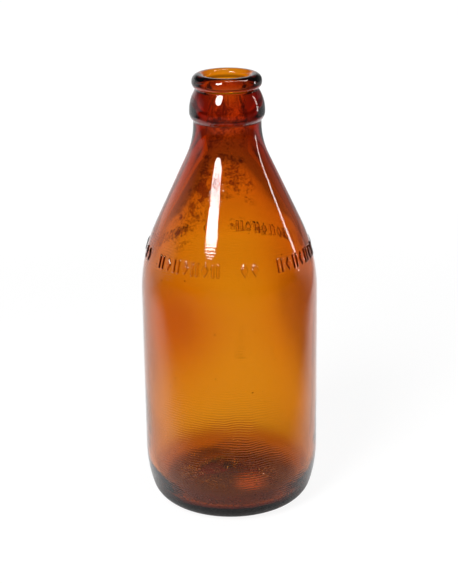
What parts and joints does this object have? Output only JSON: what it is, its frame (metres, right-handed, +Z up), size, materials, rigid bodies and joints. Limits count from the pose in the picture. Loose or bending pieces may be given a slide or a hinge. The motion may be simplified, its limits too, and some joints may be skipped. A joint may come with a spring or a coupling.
{
  "type": "beer bottle",
  "caption": "Empty amber glass beer bottle with a straight body, a long sloping shoulder, a short neck with a collar, and a crown finish without its cap.",
  "frame": {"origin": "centre of the foot's bearing ring, on the plane that the bottle stands on", "axes": "+Z up along the bottle's axis, towards the mouth; -Y is the front"},
  "size_m": [0.0683, 0.0682, 0.171],
  "materials": {
    "amber_glass": "clear amber glass, smooth, with brown residue dried on inside the shoulder"
  },
  "bodies": {
    "root": {"bottle": "amber_glass"}
  },
  "joints": []
}
